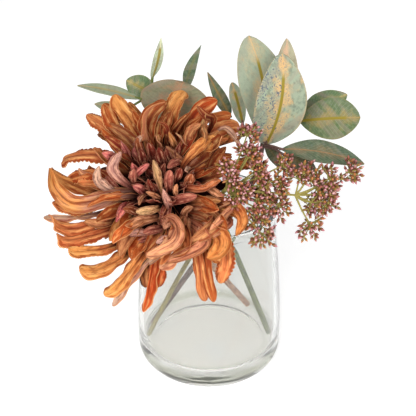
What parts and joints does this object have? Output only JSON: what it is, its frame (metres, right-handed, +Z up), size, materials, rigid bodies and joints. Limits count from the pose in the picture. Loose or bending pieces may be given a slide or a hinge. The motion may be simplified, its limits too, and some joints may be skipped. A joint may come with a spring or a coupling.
{
  "type": "chrysanthemum bouquet in a glass jar",
  "caption": "Arranged bouquet in a clear glass jar: a large spider chrysanthemum, sage-leaved sprays and a spray of small buds, all resting in the jar.",
  "frame": {"origin": "centre of the jar's flat foot, on the surface it stands on", "axes": "+Z up along the jar's axis, -Y towards the front of the bouquet, +X to its right"},
  "size_m": [0.1962, 0.1232, 0.2161],
  "materials": {
    "jar_glass": "clear glass, faint grey green in the thick base",
    "outer_petals": "matt petals, golden orange to rust with darker grooves and edges",
    "eye_florets": "matt florets, maroon and mauve with a few cream ones",
    "bloom_stem": "dry tan brown stem",
    "left_leaves": "dusty sage green leaves with olive midribs on a green stem",
    "right_leaves": "pale sage leaves with a tan blush and dark speckles on a purple brown stem",
    "filler_buds": "bronze buds with pink tips on yellow green branches"
  },
  "bodies": {
    "root": {"jar": "jar_glass", "mum_outer_petals": "outer_petals", "mum_eye_florets": "eye_florets", "mum_stem": "bloom_stem", "leaf_spray_left": "left_leaves", "leaf_spray_right": "right_leaves", "filler_spray": "filler_buds"}
  },
  "joints": []
}
